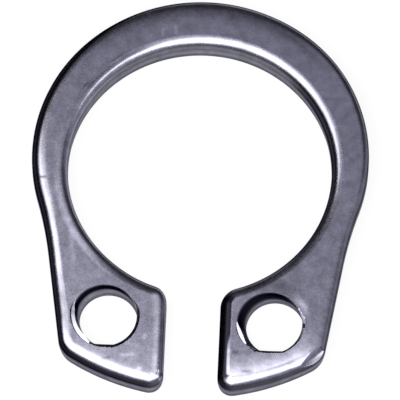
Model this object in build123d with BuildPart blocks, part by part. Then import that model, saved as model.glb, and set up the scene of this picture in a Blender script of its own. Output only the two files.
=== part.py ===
# External retaining ring for an 8 mm shaft, blanked in one piece from 0.8 mm spring steel.
#
# The ring lies on its back face. The origin is on that face at the centre of the bore,
# the gap between the two lugs points along -Y, and the rolled front edges are on top, at +Z.

import os
from math import sqrt

from build123d import *

# Driving dimensions, in millimetres and degrees
bore_radius = 3.7  # free size, before the ring is sprung open over its shaft
thickness = 0.8
outer_radius = 4.73
outer_offset = 0.42  # the outer circle's centre lies behind the bore's, so the section tapers
gap_width = 1.5
lug_end_radius = 6.63
lug_width = 7.32  # across the two outer corners, before they are rounded
flank_angle = 9.0  # between a lug's side and the Y axis

# Rounded corners of the outline
waist_radius = 11.0  # hollow side, where the ring runs into the lug
bore_tip_radius = 0.6
lug_corner_radius = 0.75
lug_tip_radius = 0.4

# Edges of the blanked sheet
roll_radius = 0.31  # die roll along the front edges
tear_height = 0.22  # torn zone of the wall, next to the back face
tear_relief = 0.025  # how far the torn zone falls back from the wall

# Plier holes, punched from the back
hole_x = 2.32
hole_y = -4.48
hole_radius = 0.8
hole_land = 0.25  # straight wall that guides the plier's tip
breakout_radius = 0.9  # at the front face, where the slug tore out
breakout_shift = (-0.13, -0.08)  # the punches stood askew, so both break-outs lean the same way

# The lug's outer corner lies on the arc that closes the lug's end
corner_x = lug_width / 2
corner_y = -sqrt(lug_end_radius**2 - corner_x**2)

with BuildPart() as retaining_ring:
    with BuildSketch() as blank:
        with Locations((0, outer_offset)):
            Circle(outer_radius)
        with BuildLine():
            right_flank = PolarLine(
                (corner_x, corner_y), -corner_y, 90 - flank_angle, length_mode=LengthMode.VERTICAL
            )
            left_flank = PolarLine(
                (-corner_x, corner_y), -corner_y, 90 + flank_angle, length_mode=LengthMode.VERTICAL
            )
            Line(right_flank @ 1, left_flank @ 1)
            ThreePointArc(left_flank @ 0, (0, -lug_end_radius), right_flank @ 0)
        make_face()
        Circle(bore_radius, mode=Mode.SUBTRACT)
        with Locations((0, -lug_end_radius / 2)):
            Rectangle(gap_width, lug_end_radius, mode=Mode.SUBTRACT)
        # The outline's corners in rows along Y: lug tips, lug corners, bore tips, waists.
        # Taken from the waists down, each fillet leaves the rows below it as they were.
        for row, radius in (
            (3, waist_radius),
            (2, bore_tip_radius),
            (1, lug_corner_radius),
            (0, lug_tip_radius),
        ):
            fillet(blank.vertices().group_by(Axis.Y)[row], radius)
    extrude(amount=thickness)

    # A blanked wall: rolled over at the front, straight in the middle, torn at the back
    front = retaining_ring.faces().sort_by(Axis.Z)[-1]
    fillet(front.edges(), roll_radius)
    back = retaining_ring.faces().sort_by(Axis.Z)[0]
    chamfer(back.edges(), length=tear_relief, length2=tear_height, reference=back)

    # Two plier holes, straight from the back and torn wider towards the front
    with BuildSketch():
        with Locations((-hole_x, hole_y), (hole_x, hole_y)):
            Circle(hole_radius)
    extrude(amount=thickness, mode=Mode.SUBTRACT)
    for side in (-1, 1):
        with BuildSketch(Plane.XY.offset(hole_land)) as land_end:
            with Locations((side * hole_x, hole_y)):
                Circle(hole_radius)
        with BuildSketch(Plane.XY.offset(thickness)) as breakout_end:
            with Locations((side * hole_x + breakout_shift[0], hole_y + breakout_shift[1])):
                Circle(breakout_radius)
        loft(sections=[land_end.sketch, breakout_end.sketch], mode=Mode.SUBTRACT)

retaining_ring.part.label = "retaining_ring"

os.makedirs("parts", exist_ok=True)
export_step(retaining_ring.part, "parts/retaining_ring.step")
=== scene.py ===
from math import atan2, cos, degrees, exp, hypot, pi, radians, sin, sqrt, tan

import bmesh
import bpy
from mathutils import Matrix, Vector, kdtree, noise


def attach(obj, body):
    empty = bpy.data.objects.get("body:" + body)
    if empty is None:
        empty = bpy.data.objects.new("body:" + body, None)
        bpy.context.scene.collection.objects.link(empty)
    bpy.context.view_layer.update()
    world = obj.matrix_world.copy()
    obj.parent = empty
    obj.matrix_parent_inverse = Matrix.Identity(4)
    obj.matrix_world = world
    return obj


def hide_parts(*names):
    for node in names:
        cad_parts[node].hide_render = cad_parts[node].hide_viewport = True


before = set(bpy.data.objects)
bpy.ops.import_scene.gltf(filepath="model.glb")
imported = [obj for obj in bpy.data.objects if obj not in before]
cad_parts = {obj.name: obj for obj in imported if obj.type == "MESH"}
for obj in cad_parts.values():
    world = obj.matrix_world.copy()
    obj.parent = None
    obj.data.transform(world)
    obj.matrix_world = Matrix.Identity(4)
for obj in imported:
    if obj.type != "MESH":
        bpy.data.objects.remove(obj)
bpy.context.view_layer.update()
bpy.ops.object.select_all(action="DESELECT")
scene = bpy.context.scene

millimetre = 0.001  # pieces are shaped in millimetres and scaled to metres at the end


# Small helpers

def inEditMode(piece):
    bpy.ops.object.select_all(action="DESELECT")
    bpy.context.view_layer.objects.active = piece
    piece.select_set(True)
    bpy.ops.object.mode_set(mode="EDIT")


def backToObject():
    bpy.ops.object.mode_set(mode="OBJECT")


def pickFaces(piece, wanted):
    # selects the faces that the test takes, by centre and normal
    mesh = bmesh.from_edit_mesh(piece.data)
    bpy.ops.mesh.select_mode(type="FACE")
    for face in mesh.faces:
        face.select_set(False)
    for face in mesh.faces:
        if wanted(face.calc_center_median(), face.normal):
            face.select_set(True)
    mesh.select_flush_mode()
    bmesh.update_edit_mesh(piece.data)


def applyModifier(piece, kind, **settings):
    bpy.ops.object.select_all(action="DESELECT")
    bpy.context.view_layer.objects.active = piece
    piece.select_set(True)
    modifier = piece.modifiers.new(kind.title(), kind)
    for name, value in settings.items():
        setattr(modifier, name, value)
    bpy.ops.object.modifier_apply(modifier=modifier.name)


# The blank: one outline, drawn from the middle of the back round to the bore

ring = {
    "boreRadius": 3.7,
    "outerRadius": 4.73,
    "outerOffset": 0.42,
    "gapHalf": 0.75,
    "lugEndRadius": 6.63,
    "lugCornerX": 3.66,
    "flankAngle": radians(9.0),
    "waistRadius": 11.0,
    "boreTipRadius": 0.6,
    "lugCornerRadius": 0.75,
    "lugTipRadius": 0.4,
    "thickness": 0.8,
    "rollRadius": 0.31,
    "tearHeight": 0.22,
    "tearRelief": 0.025,
    # points along each stretch of half the outline, so that both sides of the section have as many
    "steps": {
        "outer": 170, "waist": 34, "flank": 46, "lugCorner": 16, "lugEnd": 42,
        "lugTip": 14, "gap": 39, "boreTip": 18, "bore": 240,
    },
    "wallRows": 2,
    "rollRows": 10,
    "tearRows": 3,
    "frontRows": 54,  # of faces across the section
    "backRows": 5,
}

# between the round part of the roll and the face: runs inwards, with their slopes in degrees
rollLeadIn = ((0.035, 13.0), (0.035, 10.0), (0.035, 7.5))
rollEnd = radians(15.0)  # the slope at which the round part ends


def wallTop():
    eased = sum(run * tan(radians(slope)) for run, slope in rollLeadIn)
    return ring["thickness"] - eased - ring["rollRadius"] * cos(rollEnd)


def outlineTurns():
    # (stretch, centre, angle) for an arc and (stretch, run) for a straight stretch
    outerR = ring["outerRadius"]
    centre = Vector((0, ring["outerOffset"]))
    waistR = ring["waistRadius"]
    corner = Vector((ring["lugCornerX"], -sqrt(ring["lugEndRadius"] ** 2 - ring["lugCornerX"] ** 2)))
    lean = ring["flankAngle"]
    along = Vector((sin(lean), cos(lean)))
    out = Vector((cos(lean), -sin(lean)))
    fromCentre = corner + out * waistR - centre
    b = fromCentre.dot(along)
    c = fromCentre.dot(fromCentre) - (outerR + waistR) ** 2
    m = -b - sqrt(b * b - c)
    if m < 0:
        m = -b + sqrt(b * b - c)
    waist = corner + out * waistR + along * m
    waistEnd = waist - out * waistR
    waistStart = centre + (waist - centre) * (outerR / (waist - centre).length)
    startAngle = atan2(waistStart.y - centre.y, waistStart.x)
    waistFrom = atan2(waistStart.y - waist.y, waistStart.x - waist.x)
    waistTo = atan2(waistEnd.y - waist.y, waistEnd.x - waist.x)
    waistTurn = (waistTo - waistFrom + pi) % (2 * pi) - pi

    cornerR = ring["lugCornerRadius"]
    endR = ring["lugEndRadius"]
    inner = corner - out * cornerR
    b = inner.dot(along)
    c = inner.dot(inner) - (endR - cornerR) ** 2
    roots = [-b - sqrt(b * b - c), -b + sqrt(b * b - c)]
    cornerCentre = inner + along * min(roots, key=abs)
    cornerStart = cornerCentre + out * cornerR
    cornerFrom = atan2(out.y, out.x)
    cornerTo = atan2(cornerCentre.y, cornerCentre.x)

    tipR = ring["lugTipRadius"]
    tipX = ring["gapHalf"] + tipR
    tipY = -sqrt((endR - tipR) ** 2 - tipX**2)
    tipAngle = atan2(tipY, tipX)

    boreTipR = ring["boreTipRadius"]
    boreR = ring["boreRadius"]
    boreTipX = ring["gapHalf"] + boreTipR
    boreTipY = -sqrt((boreR + boreTipR) ** 2 - boreTipX**2)
    boreAngle = atan2(boreTipY, boreTipX)

    return [
        ("outer", centre, startAngle - pi / 2),
        ("waist", waist, waistTurn),
        ("flank", cornerStart - waistEnd),
        ("lugCorner", cornerCentre, cornerTo - cornerFrom),
        ("lugEnd", Vector((0, 0)), tipAngle - cornerTo),
        ("lugTip", Vector((tipX, tipY)), -pi - tipAngle),
        ("gap", Vector((0, boreTipY - tipY))),
        ("boreTip", Vector((boreTipX, boreTipY)), boreAngle),
        ("bore", Vector((0, 0)), pi / 2 - boreAngle),
    ]


def drawHalfOutline():
    top = ring["outerOffset"] + ring["outerRadius"]
    bpy.ops.mesh.primitive_plane_add(size=1, location=(0, top, ring["tearHeight"]))
    blank = bpy.context.object
    bpy.ops.object.transform_apply(location=True)
    bpy.ops.object.mode_set(mode="EDIT")
    bpy.ops.mesh.select_mode(type="VERT")
    bpy.ops.mesh.select_all(action="SELECT")
    bpy.ops.mesh.merge(type="CENTER")
    for stretch, *move in outlineTurns():
        steps = ring["steps"][stretch]
        if len(move) == 1:
            run = move[0] / steps
            for _ in range(steps):
                bpy.ops.mesh.extrude_region_move(TRANSFORM_OT_translate={"value": (run.x, run.y, 0)})
        else:
            centre, angle = move
            middle = (centre.x, centre.y, ring["tearHeight"])
            bpy.ops.mesh.spin(steps=steps, angle=-angle, center=middle, axis=(0, 0, 1))
    return blank


def faceTheBlank(piece, side, rows):
    # rows of faces from the outer edge to the bore, in place of one large face
    inEditMode(piece)
    pickFaces(piece, lambda centre, normal: normal.z * side > 0.999)
    bpy.ops.mesh.region_to_loop()
    mesh = bmesh.from_edit_mesh(piece.data)
    mesh.verts.ensure_lookup_table()
    for large in [face for face in mesh.faces if len(face.verts) > 100]:
        if large.normal.z * side > 0.999:
            mesh.faces.remove(large)
    # the loop falls into two chains, parted at the first edge of each lug's tip
    edges = [edge for edge in mesh.edges if edge.select]
    tipX = ring["gapHalf"] + ring["lugTipRadius"]
    for sign in (-1, 1):
        def aside(edge):
            middle = (edge.verts[0].co + edge.verts[1].co) / 2
            return hypot(middle.x - sign * tipX, middle.y + ring["lugEndRadius"])
        min(edges, key=aside).select_set(False)
    bmesh.update_edit_mesh(piece.data)
    bpy.ops.mesh.bridge_edge_loops(number_cuts=rows, interpolation="LINEAR")
    backToObject()


def blankRing():
    blank = drawHalfOutline()
    # the other half, joined along the middle
    bpy.ops.mesh.select_all(action="SELECT")
    bpy.ops.mesh.duplicate()
    bpy.ops.transform.resize(value=(-1, 1, 1), center_override=(0, 0, 0))
    bpy.ops.mesh.select_all(action="SELECT")
    bpy.ops.mesh.remove_doubles(threshold=0.002)
    bpy.ops.mesh.edge_face_add()
    # the wall up to the roll
    rise = (wallTop() - ring["tearHeight"]) / ring["wallRows"]
    for _ in range(ring["wallRows"]):
        bpy.ops.mesh.extrude_region_move(TRANSFORM_OT_translate={"value": (0, 0, rise)})
    backToObject()
    inEditMode(blank)
    bpy.ops.mesh.select_all(action="SELECT")
    bpy.ops.mesh.normals_make_consistent(inside=False)
    # the roll: round first, then easing into the front face
    pickFaces(blank, lambda centre, normal: normal.z > 0.9)
    roll = ring["rollRadius"]
    last = 0
    for row in range(1, ring["rollRows"] + 1):
        angle = (pi / 2 - rollEnd) * row / ring["rollRows"]
        bpy.ops.mesh.inset(
            thickness=roll * (cos(last) - cos(angle)),
            depth=roll * (sin(angle) - sin(last)),
            use_even_offset=True,
        )
        last = angle
    for run, slope in rollLeadIn:
        bpy.ops.mesh.inset(thickness=run, depth=run * tan(radians(slope)), use_even_offset=True)
    # the torn zone falls back a little towards the back face
    pickFaces(blank, lambda centre, normal: normal.z < -0.9)
    for _ in range(ring["tearRows"]):
        bpy.ops.mesh.inset(
            thickness=ring["tearRelief"] / ring["tearRows"],
            depth=ring["tearHeight"] / ring["tearRows"],
            use_even_offset=True,
        )
    backToObject()
    faceTheBlank(blank, 1, ring["frontRows"])
    faceTheBlank(blank, -1, ring["backRows"])
    return blank


# Plier holes, punched from the back and torn out wider at the front

holes = {
    # the lip is where the slug dragged the rim outwards, in degrees round the straight hole;
    # the bump is where the rim's flat bottom rises: place and height; the wall takes painted
    # shade from darkAbove up
    "left": {
        "back": (-2.35, -4.469), "front": (-2.46, -4.544), "flatBelow": 0.86,
        "lip": (166, 240), "lipDepth": 0.050, "lipWidth": 0.11, "lipGape": 0.125,
        "rimBump": (-2.86, 0.045), "darkAbove": 0.40,
    },
    "right": {
        "back": (2.295, -4.511), "front": (2.132, -4.589), "flatBelow": 0.82,
        "lip": (188, 220), "lipDepth": 0.046, "lipWidth": 0.10, "lipGape": 0.19,
        "rimBump": (2.0, 0.0), "darkAbove": 0.26,
    },
    "backRadius": 0.81,
    "frontRadius": 0.905,
    "land": 0.25,
    "sides": 180,
    "wallRows": 6,
    "bumpWidth": 0.11,
    "rimBreak": (0.085, 0.05),  # width and depth of the worn front rim, where there is no lip
    "worn": (250, 385),  # where the rim is worn, in degrees
    "wornSoft": 20,
    "leastWorn": 0.02,  # share of the break that is left elsewhere
    "lipSoft": 14,  # degrees over which a lip begins and ends
    "lipWall": 0.07,  # run of the steep side of the lip's groove
    "toolOverlap": 0.05,  # how far the rim's tool reaches into the open hole
}


def smooth(value, low, high):
    # 0 at low and 1 at high, whichever is larger
    share = min(max((value - low) / (high - low), 0), 1)
    return share * share * (3 - 2 * share)


def window(angle, low, high, soft):
    # 1 between two angles in degrees and 0 well outside them
    return smooth(angle, low - soft, low + soft) * (1 - smooth(angle, high - soft, high + soft))


def mound(distance, width):
    return exp(-((distance / width) ** 2))


def angleFrom(centre, x, y):
    return degrees(atan2(y - centre[1], x - centre[0])) % 360


def frontRim(hole, angle):
    # the front rim follows the break-out, but keeps to the straight hole behind the lip
    turn = radians(angle)
    x = hole["front"][0] + holes["frontRadius"] * cos(turn)
    y = hole["front"][1] + holes["frontRadius"] * sin(turn)
    bumpX, bumpHeight = hole["rimBump"]
    y = max(y, hole["front"][1] - hole["flatBelow"] + bumpHeight * mound(x - bumpX, holes["bumpWidth"]))
    kept = window(angle, *hole["lip"], holes["lipSoft"])
    straight = holes["backRadius"] + hole["lipGape"]
    x += (hole["back"][0] + straight * cos(turn) - x) * kept
    y += (hole["back"][1] + straight * sin(turn) - y) * kept
    return x, y


def cutAway(blank, tool):
    applyModifier(blank, "BOOLEAN", operation="DIFFERENCE", object=tool, solver="EXACT")
    bpy.data.objects.remove(tool, do_unlink=True)


def punch(blank, hole):
    land = holes["land"]
    bpy.ops.object.select_all(action="DESELECT")
    bpy.ops.mesh.primitive_cylinder_add(
        vertices=holes["sides"],
        radius=holes["backRadius"],
        depth=land + 0.2,
        location=(*hole["back"], (land - 0.2) / 2),
    )
    tool = bpy.context.object
    bpy.ops.object.transform_apply(location=True)
    inEditMode(tool)
    pickFaces(tool, lambda centre, normal: normal.z > 0.9)
    rise = (ring["thickness"] - land) / holes["wallRows"]
    for _ in range(holes["wallRows"] + 2):
        bpy.ops.mesh.extrude_region_move(TRANSFORM_OT_translate={"value": (0, 0, rise)})
    backToObject()
    # each row stands between the straight hole and the front rim
    for point in tool.data.vertices:
        if point.co.z > land + 1e-4:
            share = (point.co.z - land) / (ring["thickness"] - land)
            angle = angleFrom(hole["back"], point.co.x, point.co.y)
            rimX, rimY = frontRim(hole, angle)
            point.co.x += (rimX - point.co.x) * share
            point.co.y += (rimY - point.co.y) * share
    cutAway(blank, tool)


def cutRim(blank, hole):
    # a broken rim all round, which turns into a groove that slopes away from the hole at the lip
    face = ring["thickness"]
    bpy.ops.object.select_all(action="DESELECT")
    bpy.ops.mesh.primitive_plane_add(
        size=0.1, location=(hole["back"][0] + 1, hole["back"][1], face), rotation=(pi / 2, 0, 0)
    )
    tool = bpy.context.object
    bpy.ops.object.transform_apply(location=True, rotation=True)
    inEditMode(tool)
    bpy.ops.mesh.select_all(action="SELECT")
    bpy.ops.mesh.delete(type="ONLY_FACE")
    bpy.ops.mesh.select_all(action="SELECT")
    bpy.ops.mesh.spin(steps=holes["sides"], angle=2 * pi, center=(*hole["back"], face), axis=(0, 0, 1))
    bpy.ops.mesh.select_all(action="SELECT")
    bpy.ops.mesh.remove_doubles(threshold=0.001)
    bpy.ops.mesh.normals_make_consistent(inside=False)
    backToObject()
    inside = holes["toolOverlap"]
    for point in tool.data.vertices:
        x, y, z = point.co
        angle = angleFrom(hole["back"], x, y)
        outer = hypot(x - hole["back"][0], y - hole["back"][1]) > 1
        lip = window(angle, *hole["lip"], holes["lipSoft"])
        worn = max(window(turned, *holes["worn"], holes["wornSoft"]) for turned in (angle, angle + 360))
        rimWidth, rimDepth = (size * max(worn, holes["leastWorn"]) for size in holes["rimBreak"])
        offset = rimWidth + (hole["lipWidth"] - rimWidth) * lip if outer else -inside
        if z > face:
            height = face + 0.1
            offset += holes["lipWall"] if outer else 0
        elif outer:
            height = face - 0.002 - hole["lipDepth"] * lip
        else:
            broken = face - rimDepth * (1 + inside / rimWidth)
            crest = face - 0.004 + inside * hole["lipDepth"] / hole["lipWidth"]
            height = broken + (crest - broken) * smooth(lip, 0, 0.5)
        rimX, rimY = frontRim(hole, angle)
        turn = radians(angle)
        point.co = (rimX + offset * cos(turn), rimY + offset * sin(turn), height)
    cutAway(blank, tool)


# Wear and forming marks: the points are moved a few hundredths of a millimetre

marks = {
    "above": (0.47, 0.60),  # heights between which the marks set in
    "edgeWidth": 0.45,  # how far in the tighter roll can reach
    "lugsBelow": -3.9,
    # the roll eases into the face: slope beside it in degrees, its width, a gentle slope, its reach
    "easeStart": 0.335,
    "topEase": (7.0, 0.55, 0.0, 1.0),
    "sideEase": (9.0, 0.16, 0.0, 1.0),  # the left side's strip, broad above the waist
    "leftEase": (1.8, 0.18, 1.1, 1.05),
    "rightEase": (8.0, 0.62, 2.6, 1.10),
    "cornerSteeper": 0.4,  # how much steeper that is near the right lug's outer corner
    "tightRoll": 0.21,  # where the edge looks to +X it is rolled less, and along the gap still less
    "tightGap": 0.18,
    "leftLugTight": 0.35,  # share of that tighter roll on the left lug's end
    "burr": (0.012, 0.18, 0.44),  # height, distance of its crest and of its foot from the edge
    "gapBurr": (0.012, 0.12, 0.34),
    # ridges along the bore's roll: where in degrees, height, and distance and width of each
    "ridges": (119, 149),
    "ridgeHeight": 0.010,
    "firstRidge": (0.20, 0.045),
    "secondRidge": (0.33, 0.04),
    # a dent beyond the right hole's rim: where in degrees, depth, and how far it reaches out
    "rightDent": (10, 45),
    "dentSoft": 14,
    "dentDepth": 0.016,
    "dentReach": (0.04, 0.29),
    "tipBump": (-0.785, -6.33),  # on the left lug's tip, with its height and width
    "tipBumpSize": (0.065, 0.075),
    # the struck corner of the right lug: middle of the step, its way, half its length, height,
    # slope in degrees, run of its dark upper side, and how much higher its outer end lies
    "struckAt": (3.32, -5.54),
    "struckWay": (0.71, 0.70),
    "struckHalf": 0.40,
    "struckStep": 0.675,
    "struckSlope": 24.0,
    "struckSide": 0.17,
    "struckLean": 0.03,
}

# where each mark is absent and where it is whole
fades = {
    "looksRight": (0.30, 0.85),  # by the direction that the edge looks in
    "burredSide": (0.45, 0.9),
    "looksBack": (0.5, 0.92),
    "looksLeft": (0.86, 0.97),
    "aboveWaist": (-2.2, -0.8),  # by y
    "leftLug": (-4.4, -5.0),
    "gap": (-3.6, -4.4),
    "gapBurr": (-3.9, -5.0),
    "corner": (1.9, 2.6),  # by x
    "fromFlank": (0.1, 0.9),  # by the distance from a lug's side
}


def outlineSamples():
    # points of the outline with the direction that faces out of the steel
    samples = []
    for sign in (1, -1):
        at = Vector((0, ring["outerOffset"] + ring["outerRadius"]))
        inner = False
        for stretch, *move in outlineTurns():
            inner = inner or stretch == "gap"
            steps = ring["steps"][stretch] * 2
            if len(move) == 1:
                out = Vector((move[0].y, -move[0].x)).normalized() * -1
                path = [(at + move[0] * (i / steps), out) for i in range(steps)]
                at = at + move[0]
            else:
                centre, angle = move
                arm = at - centre
                path = []
                for i in range(steps + 1):
                    turned = Matrix.Rotation(angle * i / steps, 2) @ arm
                    out = turned.normalized() * (1 if angle < 0 else -1)
                    path.append((centre + turned, out))
                at = centre + turned
            samples += [((p.x * sign, p.y), (o.x * sign, o.y), inner) for p, o in path]
    return samples


def edgeFinder(samples, inner):
    # gives a point's depth behind one side of the outline, which way the edge looks there, and its reach
    own = [sample for sample in samples if sample[2] == inner]
    tree = kdtree.KDTree(len(own))
    for i, (place, out, _) in enumerate(own):
        tree.insert((*place, 0), i)
    tree.balance()

    def find(x, y):
        _, i, reach = tree.find((x, y, 0))
        place, out, _ = own[i]
        return (place[0] - x) * out[0] + (place[1] - y) * out[1], out, reach

    return find


def eased(distance, ease):
    slope, width, gentle, reach = ease
    share = min(max((distance - marks["easeStart"]) / width, 0), 1)
    drop = tan(radians(slope)) * width / 3 * (1 - share) ** 3
    rest = max(reach - max(distance, marks["easeStart"]), 0)
    return drop + tan(radians(gentle)) * (rest - 0.12 * smooth(rest, 0, 0.24))


def tighterRoll(z, roll):
    # the height that a point of the roll has when the same edge is rolled less
    rise = (z - wallTop()) / ring["rollRadius"]
    if rise > cos(rollEnd) - 1e-4:
        return ring["thickness"]
    inwards = ring["rollRadius"] * (1 - sqrt(1 - max(rise, 0) ** 2))
    inside = roll - min(inwards, roll)
    return ring["thickness"] - roll + sqrt(roll * roll - inside * inside)


def flankDistance(x, y):
    lean = ring["flankAngle"]
    cornerY = -sqrt(ring["lugEndRadius"] ** 2 - ring["lugCornerX"] ** 2)
    return (ring["lugCornerX"] - x) * cos(lean) - (cornerY - y) * sin(lean)


def rolledLess(point, nearest, isOuter):
    # how far a point of the roll moves where the edge is rolled less
    x, y, z = point
    tight = smooth(nearest[0], *fades["looksRight"])
    if x < 0 and isOuter:
        tight = max(tight, marks["leftLugTight"] * smooth(y, *fades["leftLug"]))
    if not tight:
        return 0
    atGap = 0 if isOuter else smooth(y, *fades["gap"])
    roll = marks["tightRoll"] + (marks["tightGap"] - marks["tightRoll"]) * atGap
    return (tighterRoll(z, roll) - z) * tight


def easedIn(x, y, outerDistance, outerOut):
    # the outer edge eases into the face behind the bore, on the left side and at the lugs' ends
    drop = 0
    if y > 0:
        drop += eased(outerDistance, marks["topEase"]) * smooth(outerOut[1], *fades["looksBack"])
    elif y < marks["lugsBelow"]:
        slope, *rest = marks["leftEase"] if x < 0 else marks["rightEase"]
        ease = (slope * (1 + marks["cornerSteeper"] * smooth(x, *fades["corner"])), *rest)
        fromFlank = smooth(flankDistance(abs(x), y), *fades["fromFlank"])
        drop += eased(ring["lugEndRadius"] - hypot(x, y), ease) * fromFlank
    if x < 0:
        beside = smooth(-outerOut[0], *fades["looksLeft"]) * smooth(y, *fades["aboveWaist"])
        drop += eased(outerDistance, marks["sideEase"]) * beside
    return drop


def ridged(x, y, boreDistance):
    # thin ridges along the bore's roll on the upper left, the outer one broken up
    distance, width = marks["firstRidge"]
    winding = 0.03 * noise.noise((x * 2.2, y * 2.2, 3.1))
    first = mound(boreDistance - distance - winding, width)
    distance, width = marks["secondRidge"]
    broken = smooth(noise.noise((x * 4, y * 4, 8)), -0.1, 0.3)
    second = mound(boreDistance - distance, width) * broken
    return window(degrees(atan2(y, x)), *marks["ridges"], 6) * (first + 0.6 * second)


def markTheRing(piece, outerEdge, boreEdge):
    for point in piece.data.vertices:
        x, y, z = point.co
        if z < marks["above"][0]:
            continue
        outerDistance, outerOut, outerReach = outerEdge(x, y)
        boreDistance, boreOut, boreReach = boreEdge(x, y)
        isOuter = outerReach < boreReach
        nearest = outerOut if isOuter else boreOut
        move = 0
        if min(outerDistance, boreDistance) < marks["edgeWidth"]:
            move += rolledLess(point.co, nearest, isOuter)
        # a low burr along the bore and the gap
        alongGap = smooth(y, *fades["gapBurr"])
        height, crest, foot = (b + (g - b) * alongGap for b, g in zip(marks["burr"], marks["gapBurr"]))
        rise = smooth(boreDistance, foot, crest) * smooth(boreDistance, 0, crest)
        move += height * rise * smooth(boreOut[0], *fades["burredSide"])
        move -= easedIn(x, y, outerDistance, outerOut) * smooth(z, *marks["above"])
        # a shallow dent beyond the right hole's rim
        centre = holes["right"]["front"]
        fromRim = hypot(x - centre[0], y - centre[1]) - holes["frontRadius"]
        angle = (angleFrom(centre, x, y) + 180) % 360 - 180
        dented = window(angle, *marks["rightDent"], marks["dentSoft"])
        move -= marks["dentDepth"] * dented * (1 - smooth(fromRim, *marks["dentReach"]))
        if boreDistance < 0.6 and y > 0:
            move += marks["ridgeHeight"] * ridged(x, y, boreDistance)
        height, width = marks["tipBumpSize"]
        move += height * mound(hypot(x - marks["tipBump"][0], y - marks["tipBump"][1]), width)
        point.co.z = z + move


def strikeCorner(blank):
    # a blow has flattened the roll on the right lug's outer corner
    slope = tan(radians(marks["struckSlope"]))
    bpy.ops.object.select_all(action="DESELECT")
    bpy.ops.mesh.primitive_cube_add(size=1, location=(0, 0, 0))
    tool = bpy.context.object
    alongX, alongY = marks["struckWay"]
    for point in tool.data.vertices:
        end, out, top = (1 if v > 0 else -1 for v in point.co)
        run = end * (marks["struckHalf"] + (0.05 if top > 0 else 0))
        across = 0.7 if out < 0 else (-marks["struckSide"] if top > 0 else 0.0)
        if top > 0:
            height = ring["thickness"] + 0.1
        else:
            height = marks["struckStep"] - slope * across + marks["struckLean"] * end
        x = marks["struckAt"][0] + run * alongX + across * alongY
        y = marks["struckAt"][1] + run * alongY - across * alongX
        point.co = (x, y, height)
    inEditMode(tool)
    bpy.ops.mesh.select_all(action="SELECT")
    bpy.ops.mesh.normals_make_consistent(inside=False)
    backToObject()
    cutAway(blank, tool)


samples = outlineSamples()
outerEdge, boreEdge = edgeFinder(samples, False), edgeFinder(samples, True)
blank = blankRing()
print("blank made", len(blank.data.vertices), "points")
markTheRing(blank, outerEdge, boreEdge)
for side in ("left", "right"):
    punch(blank, holes[side])
    cutRim(blank, holes[side])
strikeCorner(blank)
print("holes punched and edges marked", len(blank.data.vertices), "points")


# Painted shade, kept with the mesh: a near-black colour on the steep part of the roll, standing in for the
# dark surroundings it mirrors, and in the plier holes, standing in for their shade

paintedShadePlaces = {
    # shares by the way the edge looks
    "outer": {"back": 1.0, "left": 0.95, "lowerLeft": 1.0, "front": 0.93, "lowerRight": 0.7, "right": 0.7},
    "bore": {"front": 0.45, "right": 0.15, "left": 0.9, "back": 0.85},
    "above": (0.40, 0.52),  # heights between which it sets in
    # the upright part of the normal at which the painted shade is absent and at which it is full
    "steep": (0.80, 0.58),
    "steepLeft": (0.12, 0.18),  # further up where the edge looks to the left
    "besideFurther": 0.065,  # and further still on the left side's strip and at the upper left
    "upperLeftFurther": 0.13,
    "leftFlank": 0.45,
    "flankFrom": (3.7, 4.9),
    "flankSlope": (0.9995, 0.99),
    "gapRight": 1.0,
    "gapFrom": -3.6,
    "gapSlope": (0.9985, 0.990),
    "gapLower": (0.012, 0.030),  # and less far up lower down the lug
    "tipBare": (0.06, 0.11),  # round the bump on the left lug's tip
    "holeWall": 0.97,
    "holeRim": 0.65,
    "holeReach": (1.07, 1.04),  # of the rim and wall, and of the unshaded face round them
}

# scuffs and pits on the face: place, direction, length, width, and how much brighter
scuffs = (
    (-1.21, 4.06, 92, 0.26, 0.035, 0.7),
    (-0.85, 4.17, 88, 0.30, 0.035, 0.6),
    (-3.43, -2.58, -82, 1.00, 0.07, 0.35),
    (-1.78, -5.69, 5, 0.45, 0.045, 0.6),
    (-1.31, -5.13, 80, 0.20, 0.05, 0.7),
    (-1.41, -6.07, 0, 0.15, 0.05, 0.7),
    (-2.35, -5.80, 20, 0.30, 0.05, -0.35),
    (1.58, -6.03, 0, 0.40, 0.04, -0.40),
    (-4.38, -0.47, 0, 0.30, 0.035, -0.80),
    (2.11, -3.50, 0, 1.50, 0.22, -0.30),
    (1.23, -5.49, 0, 0.20, 0.07, -0.50),
)

compass = {
    "back": (0, 1), "left": (-1, 0), "lowerLeft": (-0.6, -0.8), "front": (0.1, -1),
    "lowerRight": (0.5, -0.87), "right": (1, 0),
}


def byDirection(out, shares):
    # a weighted mean of the shares whose directions lie near the edge's own
    total, weight = 0, 0
    for name, share in shares.items():
        nearness = max(out[0] * compass[name][0] + out[1] * compass[name][1], 0) ** 8 + 1e-4
        total += share * nearness
        weight += nearness
    return total / weight


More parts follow.
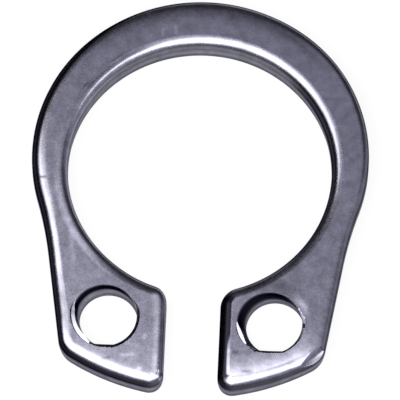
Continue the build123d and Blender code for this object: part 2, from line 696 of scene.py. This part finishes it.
def shadeByEdge(point, outerEdge, boreEdge):
    # the share of painted shade at a point of the roll
    places = paintedShadePlaces
    x, y, z = point.co
    slope = point.normal.z
    _, outerOut, outerReach = outerEdge(x, y)
    _, boreOut, boreReach = boreEdge(x, y)
    isOuter = outerReach < boreReach
    nearest = outerOut if isOuter else boreOut
    leftwards = smooth(-nearest[0], 0.3, 0.9)
    beside = leftwards * smooth(y, *fades["aboveWaist"]) * (x < 0)
    upperLeft = smooth(0.71 * (nearest[1] - nearest[0]), 0.55, 0.95) * isOuter
    further = places["besideFurther"] * beside + places["upperLeftFurther"] * upperLeft
    unshaded, full = (s + left * leftwards + further for s, left in zip(places["steep"], places["steepLeft"]))
    steep = smooth(slope, min(unshaded, 0.985), full)
    if isOuter:
        share = byDirection(outerOut, places["outer"])
        # the left lug's flank takes some painted shade on its gentle slope too
        flank = places["leftFlank"] * window(-y, *places["flankFrom"], 0.35) * (x < 0)
        steep = max(steep, flank * smooth(slope, *places["flankSlope"]))
    else:
        share = byDirection(boreOut, places["bore"])
    kept = steep * share
    if x > 0 and y < places["gapFrom"]:
        # the right lug's edge along the gap takes the painted shade down to the gentlest slope
        lower = smooth(y, -4.9, -5.5)
        unshaded, full = (s - less * lower for s, less in zip(places["gapSlope"], places["gapLower"]))
        turned = places["gapRight"] * smooth(-nearest[0], 0.35, 0.95)
        kept = max(kept, smooth(slope, unshaded, full) * turned)
    fromBump = hypot(x - marks["tipBump"][0], y - marks["tipBump"][1])
    bare = smooth(fromBump, *places["tipBare"])
    return kept * smooth(z, *places["above"]) * (slope > 0) * bare


def shadeInHole(face, corner, hole):
    # the share of painted shade on a plier hole's wall or rim
    angle = angleFrom(hole["back"], corner.x, corner.y)
    if face.normal.z > 0.85 and window(angle, *hole["lip"], 20) > 0.05:
        return 0.0  # the lip's bright slope
    if face.normal.z > 0.55 or corner.z > ring["thickness"] - 0.01:
        return paintedShadePlaces["holeRim"]
    return paintedShadePlaces["holeWall"] * smooth(corner.z, hole["darkAbove"], hole["darkAbove"] + 0.12)


def scuffAt(place):
    total = 0
    for x, y, direction, length, width, strength in scuffs:
        turn = radians(direction)
        aside = (place.x - x, place.y - y)
        along = abs(aside[0] * cos(turn) + aside[1] * sin(turn))
        across = aside[1] * cos(turn) - aside[0] * sin(turn)
        if along < length and abs(across) < 3 * width:
            ends = smooth(along, length * 0.3, length * 0.6)
            total += strength * (1 - ends) * mound(across, width)
    return total


def markShadeAndScuffs(piece, outerEdge, boreEdge):
    mesh = piece.data
    kept = [shadeByEdge(point, outerEdge, boreEdge) for point in mesh.vertices]
    values = [0.0] * len(mesh.loops)
    holeReach, unshadedReach = paintedShadePlaces["holeReach"]
    for face in mesh.polygons:
        hole = holes["left"] if face.center.x < 0 else holes["right"]
        fromHole = hypot(face.center.x - hole["front"][0], face.center.y - hole["front"][1])
        inHole = fromHole < holeReach and face.center.z > 0.01 and face.normal.z < 0.97
        for loop in face.loop_indices:
            corner = mesh.loops[loop].vertex_index
            if inHole:
                values[loop] = shadeInHole(face, mesh.vertices[corner].co, hole)
            elif fromHole >= unshadedReach:
                values[loop] = kept[corner]
    # painted shade: the share of near-black colour at each face corner
    attribute = mesh.attributes.new("paintedShade", "FLOAT", "CORNER")
    attribute.data.foreach_set("value", values)
    attribute = mesh.attributes.new("scuffed", "FLOAT", "POINT")
    attribute.data.foreach_set("value", [scuffAt(point.co) for point in mesh.vertices])


markShadeAndScuffs(blank, outerEdge, boreEdge)
print("painted shade and scuffs marked on", len(blank.data.polygons), "faces")


# Materials: values are wires, and plain expressions on them add the nodes

class Recipe:
    def __init__(self, tree):
        self.tree = tree
        tree.nodes.clear()

    def node(self, kind, settings=None, values=None):
        made = self.tree.nodes.new(kind)
        for name, value in (settings or {}).items():
            setattr(made, name, value)
        for name, value in (values or {}).items():
            if isinstance(value, Wire):
                self.tree.links.new(value.socket, made.inputs[name])
            else:
                made.inputs[name].default_value = value
        return made

    def wire(self, kind, settings=None, values=None, output=0):
        return Wire(self, self.node(kind, settings, values).outputs[output])


class Wire:
    def __init__(self, recipe, socket):
        self.recipe = recipe
        self.socket = socket

    def maths(self, operation, first, second):
        return self.recipe.wire("ShaderNodeMath", {"operation": operation}, {0: first, 1: second})

    def __add__(self, other):
        return self.maths("ADD", self, other)

    def __radd__(self, other):
        return self.maths("ADD", other, self)

    def __sub__(self, other):
        return self.maths("SUBTRACT", self, other)

    def __rsub__(self, other):
        return self.maths("SUBTRACT", other, self)

    def __mul__(self, other):
        return self.maths("MULTIPLY", self, other)

    def __rmul__(self, other):
        return self.maths("MULTIPLY", other, self)

    def step(self, low, high):
        # 0 below low, 1 above high, smooth between; high may be the lower one
        values = {"Value": self, "From Min": low, "From Max": high}
        return self.recipe.wire("ShaderNodeMapRange", {"interpolation_type": "SMOOTHSTEP"}, values)


def blendColours(recipe, amount, first, second):
    node = recipe.node("ShaderNodeMix", {"data_type": "RGBA"}, {0: amount, 6: first, 7: second})
    return Wire(recipe, node.outputs[2])


steelFinish = {
    "face": (0.30, 0.297, 0.345, 1),
    # painted shade: near-black colour for the dark reflection on the steep roll and the shade in the plier
    # holes
    "paintedShade": (0.014, 0.013, 0.019, 1),
    "wall": (0.29, 0.288, 0.33, 1),
    "torn": (0.19, 0.188, 0.22, 1),
    "glancing": (0.25, 0.25, 0.30, 1),
    "wallBelow": (0.58, 0.48),  # heights between which the cut wall takes over, and the torn zone
    "tornBelow": (0.26, 0.20),
    "roughness": 0.27,
    "wallRoughness": 0.48,
    "roughnessGrain": 0.1,
    "blotches": (3.3, 0.42),  # per millimetre, and how far they change the colour
    "grain": (9.0, 0.08),
    "waves": (2.4, 1.6e-6),  # per millimetre, and height in metres
    "sharpAbove": radians(32),  # edges that stay sharp
}


def springSteel():
    material = bpy.data.materials.new("springSteel")
    material.use_nodes = True
    recipe = Recipe(material.node_tree)
    place = recipe.wire("ShaderNodeTexCoord", output="Object")
    inMm = recipe.wire(
        "ShaderNodeVectorMath", {"operation": "SCALE"}, {0: place, "Scale": 1 / millimetre}
    )
    height = recipe.wire("ShaderNodeSeparateXYZ", values={0: inMm}, output="Z")
    paintedShade = recipe.wire("ShaderNodeAttribute", {"attribute_name": "paintedShade"}, output="Fac")
    scuffed = recipe.wire("ShaderNodeAttribute", {"attribute_name": "scuffed"}, output="Fac")

    def cloud(scale, detail):
        return recipe.wire("ShaderNodeTexNoise", values={"Vector": inMm, "Scale": scale, "Detail": detail})

    blotches = cloud(steelFinish["blotches"][0], 3.0)
    grain = cloud(steelFinish["grain"][0], 2.0)
    waves = cloud(steelFinish["waves"][0], 2.0)
    uneven = (blotches - 0.5) * (2 * steelFinish["blotches"][1])
    uneven += (grain - 0.5) * (2 * steelFinish["grain"][1])

    wall = height.step(*steelFinish["wallBelow"])
    torn = height.step(*steelFinish["tornBelow"])
    colour = blendColours(recipe, wall, steelFinish["face"], steelFinish["wall"])
    colour = blendColours(recipe, torn, colour, steelFinish["torn"])
    brighter = 1 + uneven + scuffed
    colour = recipe.wire("ShaderNodeVectorMath", {"operation": "SCALE"}, {0: colour, "Scale": brighter})
    # painted shade laid over the steel's colour where the mesh marks it
    colour = blendColours(recipe, paintedShade, colour, steelFinish["paintedShade"])
    rougher = steelFinish["wallRoughness"] - steelFinish["roughness"]
    roughness = steelFinish["roughness"] + wall * rougher + (grain - 0.5) * steelFinish["roughnessGrain"]
    bump = recipe.wire(
        "ShaderNodeBump", values={"Strength": 1.0, "Distance": steelFinish["waves"][1], "Height": waves}
    )
    shader = recipe.wire(
        "ShaderNodeBsdfPrincipled",
        values={
            "Base Color": colour,
            "Metallic": 1.0,
            "Roughness": roughness,
            "Specular Tint": steelFinish["glancing"],
            "Normal": bump,
        },
    )
    recipe.node("ShaderNodeOutputMaterial", values={"Surface": shader})
    return material


bpy.ops.object.select_all(action="DESELECT")
bpy.context.view_layer.objects.active = blank
blank.select_set(True)
blank.scale = (millimetre,) * 3
bpy.ops.object.transform_apply(scale=True)
bpy.ops.object.shade_smooth_by_angle(angle=steelFinish["sharpAbove"])
blank.name = "RetainingRing"
blank.data.materials.clear()
blank.data.materials.append(springSteel())
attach(blank, "root")
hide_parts("retaining_ring")
print("ring dressed in", blank.data.materials[0].name)


# Floor

# how much of the floor is plain white to the camera and to mirrored rays; the rest takes the shadow
floorFinish = {"colour": (0.8, 0.8, 0.8, 1), "white": 0.88, "size": 3}


def makeFloor():
    bpy.ops.object.select_all(action="DESELECT")
    bpy.ops.mesh.primitive_plane_add(size=floorFinish["size"], location=(0, 0, 0))
    floor = bpy.context.object
    floor.name = "Floor"
    paint = bpy.data.materials.new("paleFloor")
    paint.use_nodes = True
    recipe = Recipe(paint.node_tree)
    seen = recipe.wire("ShaderNodeLightPath", output="Is Camera Ray")
    mirrored = recipe.wire("ShaderNodeLightPath", output="Is Glossy Ray")
    lit = recipe.wire("ShaderNodeBsdfDiffuse", values={"Color": floorFinish["colour"]})
    white = recipe.wire("ShaderNodeEmission")
    share = (seen + mirrored) * floorFinish["white"]
    mixed = recipe.wire("ShaderNodeMixShader", values={0: share, 1: lit, 2: white})
    recipe.node("ShaderNodeOutputMaterial", values={"Surface": mixed})
    floor.data.materials.append(paint)


makeFloor()


# Light: a broad box over the front and left, a small one over the front right, and dim surroundings

lamps = {
    # centre in metres, size along and across, turn about the vertical, and radiance
    "broadBox": {
        "place": (-0.0195, -0.0200, 0.045), "size": (0.098, 0.057), "turn": -36, "radiance": 4.0,
    },
    "cornerStrip": {
        "place": (0.0319, -0.0112, 0.049), "size": (0.030, 0.021), "turn": 40, "radiance": 4.0,
    },
}


def addLamp(name, lamp):
    data = bpy.data.lights.new(name, "AREA")
    data.shape = "RECTANGLE"
    data.size, data.size_y = lamp["size"]
    data.energy = lamp["radiance"] * pi * data.size * data.size_y
    made = bpy.data.objects.new(name, data)
    scene.collection.objects.link(made)
    made.location = lamp["place"]
    made.rotation_euler = (0, 0, radians(lamp["turn"]))
    made.visible_camera = False


for name, lamp in lamps.items():
    addLamp(name, lamp)

surroundings = {
    "dark": 0.05,
    # strength, the way it comes from, and how near to that way it begins and is full
    "above": (0.56, (0, 0, 1), (0.76, 0.98)),
    "front": (0.3, (0, -1, 0), (0.3, 1.0)),
    "right": (0.6, (0.92, -0.39, 0), (0.4, 1.0)),
    "tint": (0.88, 0.87, 1.1, 1),
}


def makeWorld():
    world = bpy.data.worlds.new("studio")
    scene.world = world
    world.use_nodes = True
    recipe = Recipe(world.node_tree)
    direction = recipe.wire("ShaderNodeTexCoord", output="Generated")

    strength = surroundings["dark"]
    for side in ("above", "front", "right"):
        share, way, nearness = surroundings[side]
        values = {0: direction, 1: way}
        dot = recipe.wire("ShaderNodeVectorMath", {"operation": "DOT_PRODUCT"}, values, "Value")
        strength = strength + dot.step(*nearness) * share
    dim = recipe.wire("ShaderNodeBackground", values={"Color": surroundings["tint"], "Strength": strength})
    white = recipe.wire("ShaderNodeBackground", values={"Color": (1, 1, 1, 1), "Strength": 1.0})
    seen = recipe.wire("ShaderNodeLightPath", output="Is Camera Ray")
    mixed = recipe.wire("ShaderNodeMixShader", values={0: seen, 1: dim, 2: white})
    recipe.node("ShaderNodeOutputWorld", values={"Surface": mixed})


makeWorld()


# Camera

lens = {
    "tilt": 21.84,  # from straight above, towards the lugs
    "side": -1.14,
    "roll": -2.19,
    "distance": 0.185,
    "seenWidth": 0.01120,  # of the frame, at the front face
    "boreAside": -0.0000081,  # the bore's centre, right of the middle of the frame and above it
    "boreAbove": 0.0009283,
}


def makeCamera():
    ax, ay, az = radians(lens["tilt"]), radians(lens["side"]), radians(lens["roll"])
    tilt = Matrix(((1, 0, 0), (0, cos(ax), sin(ax)), (0, -sin(ax), cos(ax))))
    side = Matrix(((cos(ay), 0, sin(ay)), (0, 1, 0), (-sin(ay), 0, cos(ay))))
    roll = Matrix(((cos(az), -sin(az), 0), (sin(az), cos(az), 0), (0, 0, 1)))
    fromCamera = (roll @ side @ tilt).transposed()
    data = bpy.data.cameras.new("camera")
    camera = bpy.data.objects.new("camera", data)
    scene.collection.objects.link(camera)
    data.sensor_width = 36
    data.lens = 36 * lens["distance"] / lens["seenWidth"]
    bore = Vector((0, 0, ring["thickness"] * millimetre))
    camera.location = bore + fromCamera @ Vector((-lens["boreAside"], -lens["boreAbove"], lens["distance"]))
    camera.rotation_mode = "QUATERNION"
    camera.rotation_quaternion = fromCamera.to_quaternion()
    data.clip_start, data.clip_end = 0.01, 10
    scene.camera = camera


makeCamera()
print("floor, lamps and camera placed")
scene.view_settings.view_transform = "Standard"
